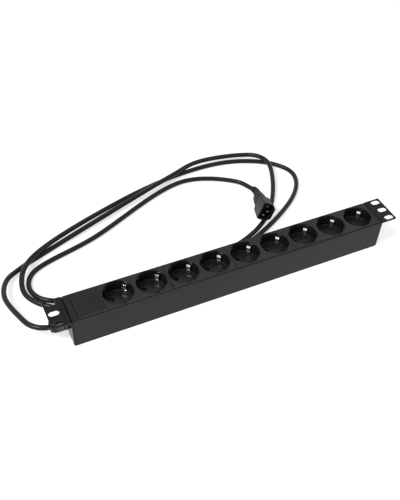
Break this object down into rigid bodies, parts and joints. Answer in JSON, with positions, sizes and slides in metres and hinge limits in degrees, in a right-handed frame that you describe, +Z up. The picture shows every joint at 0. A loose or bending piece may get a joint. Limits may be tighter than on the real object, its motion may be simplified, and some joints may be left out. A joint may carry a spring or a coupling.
{
  "type": "rack power strip",
  "caption": "Rack power strip: long black steel box with slotted ears, a row of round earthed sockets, a blank label module and a mains lead that ends in a small plug.",
  "frame": {"origin": "middle of the strip's footprint, on the surface that it stands on; the free lead and its plug are left out", "axes": "+X along the strip, away from the cable gland; +Y towards the back; +Z up, out of the socket faces"},
  "size_m": [0.5196, 0.2542, 0.0461],
  "materials": {
    "painted_steel": "satin powder coat",
    "module_plastic": "fine satin moulding",
    "label_plastic": "semi-gloss",
    "carrier_plastic": "matt moulding",
    "clip_nickel": "bright nickel plate",
    "busbar_brass": "rolled brass",
    "zinc_steel": "zinc plate",
    "gland_plastic": "satin moulding",
    "seal_rubber": "matt rubber",
    "cord_sheath": "satin flexible sheath",
    "core_brown": "satin insulation",
    "core_blue": "satin insulation",
    "core_green": "satin insulation, green with a yellow stripe",
    "plug_plastic": "satin moulding",
    "blade_nickel": "bright nickel plate"
  },
  "bodies": {
    "root": {"base_tray": "painted_steel", "top_cover": "painted_steel", "label_module": "module_plastic", "socket_module_1": "module_plastic", "socket_module_2": "module_plastic", "socket_module_3": "module_plastic", "socket_module_4": "module_plastic", "label_plate": "label_plastic", "module_base_1": "carrier_plastic", "module_base_2": "carrier_plastic", "module_base_3": "carrier_plastic", "module_base_4": "carrier_plastic", "earth_clip_1": "clip_nickel", "earth_clip_2": "clip_nickel", "earth_clip_3": "clip_nickel", "earth_clip_4": "clip_nickel", "earth_clip_5": "clip_nickel", "earth_clip_6": "clip_nickel", "earth_clip_7": "clip_nickel", "earth_clip_8": "clip_nickel", "earth_clip_9": "clip_nickel", "line_busbar": "busbar_brass", "neutral_busbar": "busbar_brass", "earth_busbar": "busbar_brass", "cover_screw_1": "zinc_steel", "cover_screw_2": "zinc_steel", "cover_screw_3": "zinc_steel", "cover_screw_4": "zinc_steel", "earth_stud": "zinc_steel", "earth_nut": "zinc_steel", "gland_body": "gland_plastic", "gland_locknut": "gland_plastic", "gland_dome_nut": "gland_plastic", "gland_seal": "seal_rubber", "cord_inner_tail": "cord_sheath", "power_cord": "cord_sheath", "core_line": "core_brown", "core_neutral": "core_blue", "core_earth": "core_green", "earth_jumper": "core_green", "plug_shell": "plug_plastic", "plug_insert": "plug_plastic", "plug_line_blade": "blade_nickel", "plug_neutral_blade": "blade_nickel", "plug_earth_blade": "blade_nickel"}
  },
  "joints": []
}
